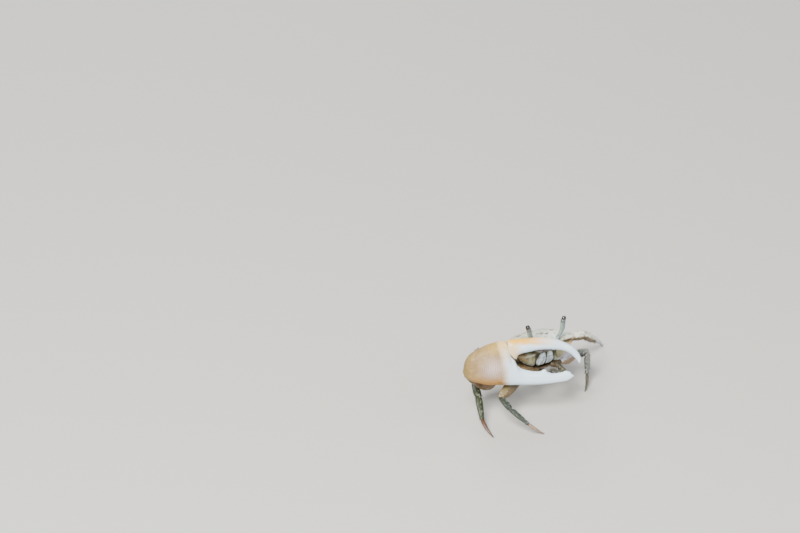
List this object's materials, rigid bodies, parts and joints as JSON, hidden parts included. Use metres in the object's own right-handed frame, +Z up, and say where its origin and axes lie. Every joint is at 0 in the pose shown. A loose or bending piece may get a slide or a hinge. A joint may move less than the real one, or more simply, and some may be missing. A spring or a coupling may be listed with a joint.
{
  "type": "fiddler crab",
  "caption": "Life-size male fiddler crab standing still, its great claw folded across its face, eyes raised on stalks.",
  "frame": {"origin": "middle of the model on the floor that it stands on", "axes": "+X to the crab's left, -Y the way its face looks, +Z up"},
  "size_m": [0.0495, 0.0444, 0.024],
  "materials": {
    "shell": "pearly cream carapace with small dark spots",
    "underside": "olive-brown underside",
    "tail": "pale brown folded tail",
    "mouth_cover": "blue-white mouth plates",
    "eyestalk": "blue-grey eyestalks",
    "cornea": "dark shining eyes",
    "feeler": "brown feelers",
    "leg": "mottled green-grey legs",
    "leg_tip": "brown leg tips",
    "claw_hand": "tan-orange finely grained palm, white fixed finger",
    "claw_finger": "white moving finger, yellow-orange at its root",
    "claw_arm": "tan and cream arm of the great claw",
    "small_claw": "cream small claw"
  },
  "bodies": {
    "root": {"abdomen": "tail", "antenna_left": "feeler", "antenna_right": "feeler", "carapace": "shell", "cornea_left": "cornea", "cornea_right": "cornea", "eyestalk_left": "eyestalk", "eyestalk_right": "eyestalk", "great_claw_carpus": "claw_arm", "great_claw_finger": "claw_finger", "great_claw_hand": "claw_hand", "great_claw_merus": "claw_arm", "leg_2_left_carpus": "leg", "leg_2_left_dactyl": "leg_tip", "leg_2_left_merus": "leg", "leg_2_left_propodus": "leg", "leg_2_right_carpus": "leg", "leg_2_right_dactyl": "leg_tip", "leg_2_right_merus": "leg", "leg_2_right_propodus": "leg", "leg_3_left_carpus": "leg", "leg_3_left_dactyl": "leg_tip", "leg_3_left_merus": "leg", "leg_3_left_propodus": "leg", "leg_3_right_carpus": "leg", "leg_3_right_dactyl": "leg_tip", "leg_3_right_merus": "leg", "leg_3_right_propodus": "leg", "leg_4_left_carpus": "leg", "leg_4_left_dactyl": "leg_tip", "leg_4_left_merus": "leg", "leg_4_left_propodus": "leg", "leg_4_right_carpus": "leg", "leg_4_right_dactyl": "leg_tip", "leg_4_right_merus": "leg", "leg_4_right_propodus": "leg", "leg_5_left_carpus": "leg", "leg_5_left_dactyl": "leg_tip", "leg_5_left_merus": "leg", "leg_5_left_propodus": "leg", "leg_5_right_carpus": "leg", "leg_5_right_dactyl": "leg_tip", "leg_5_right_merus": "leg", "leg_5_right_propodus": "leg", "maxilliped_left": "mouth_cover", "maxilliped_right": "mouth_cover", "small_claw_carpus": "small_claw", "small_claw_finger": "small_claw", "small_claw_hand": "small_claw", "small_claw_merus": "small_claw", "thorax": "underside"}
  },
  "joints": []
}
